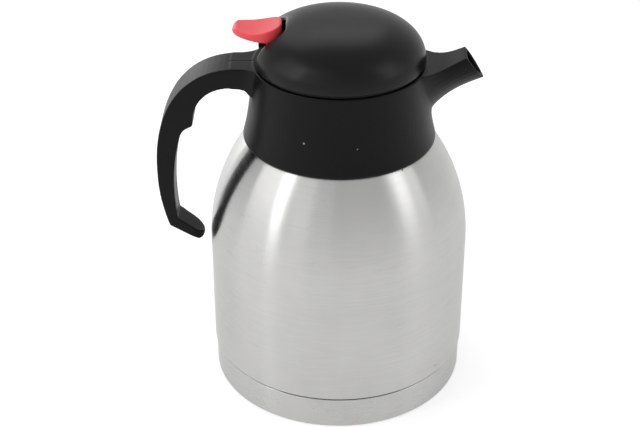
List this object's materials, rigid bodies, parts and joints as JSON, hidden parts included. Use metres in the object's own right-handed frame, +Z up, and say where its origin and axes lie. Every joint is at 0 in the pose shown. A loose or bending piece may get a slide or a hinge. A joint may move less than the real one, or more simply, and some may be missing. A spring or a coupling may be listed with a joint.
{
  "type": "vacuum carafe",
  "caption": "Double-walled steel vacuum carafe with a screw stopper, a domed lid whose thumb lever lifts the pouring valve, a pouring spout and an open handle.",
  "frame": {"origin": "on the carafe's axis, in the plane of the ring that it stands on", "axes": "+Z up along the axis, +X towards the spout, the handle on the -X side"},
  "size_m": [0.1718, 0.14, 0.2099],
  "materials": {
    "satin_steel": "satin, brushed round the body",
    "satin_steel_base": "satin, brushed round the base",
    "plain_steel": "drawn and electropolished",
    "getter_metal": "pressed tablet",
    "braze": "solidified bead",
    "black_moulding": "moulded black with a low gloss",
    "black_strip": "moulded black with a low gloss",
    "black_dome": "moulded black with a low gloss",
    "deck_moulding": "moulded black",
    "inner_moulding": "moulded dark grey",
    "clear_seal": "pale silicone",
    "pin_steel": "ground rod",
    "spring_wire": "drawn wire",
    "red_moulding": "moulded red with a low gloss"
  },
  "bodies": {
    "carafe": {"outer_shell": "satin_steel", "inner_flask": "plain_steel", "bottom_plate": "plain_steel", "getter": "getter_metal", "vacuum_bead": "braze", "base_cup": "satin_steel_base", "collar": "black_moulding", "handle_strip": "black_strip", "throat_insert": "inner_moulding", "neck_seal": "clear_seal"},
    "gasket": {"stopper_gasket": "clear_seal"},
    "stopper": {"stopper_cup": "inner_moulding", "lid_deck": "deck_moulding", "deck_gasket": "clear_seal", "dome_cover": "black_dome", "lever_pin": "pin_steel", "valve_spring": "spring_wire"},
    "lever": {"thumb_lever": "red_moulding"},
    "valve": {"valve_stem": "pin_steel", "valve_plug": "inner_moulding", "valve_seal": "clear_seal", "stem_cap": "inner_moulding"}
  },
  "joints": [
    {"name": "lid_rise", "type": "slide", "parent": "carafe", "child": "gasket", "axis": [0, 0, 1], "range_m": [0, 0.04]},
    {"name": "lid_unscrew", "type": "hinge", "parent": "gasket", "child": "stopper", "pos_m": [0, 0, 0.16], "axis": [0, 0, 1], "range_deg": [0, 720]},
    {"name": "lever_press", "type": "hinge", "parent": "stopper", "child": "lever", "pos_m": [-0.034, 0, 0.196], "axis": [0, -1, 0], "range_deg": [0, 10]},
    {"name": "valve_lift", "type": "slide", "parent": "stopper", "child": "valve", "axis": [0, 0, 1], "range_m": [0, 0.0063], "stiffness_N_per_m": 700, "springref_m": -0.002, "deforming": ["valve_spring"]}
  ],
  "couplings": [
    {"joint": "lid_unscrew", "follows": "lid_rise", "rad_per_m": 314.16},
    {"joint": "lever_press", "follows": "valve_lift", "rad_per_m": 27.7}
  ]
}
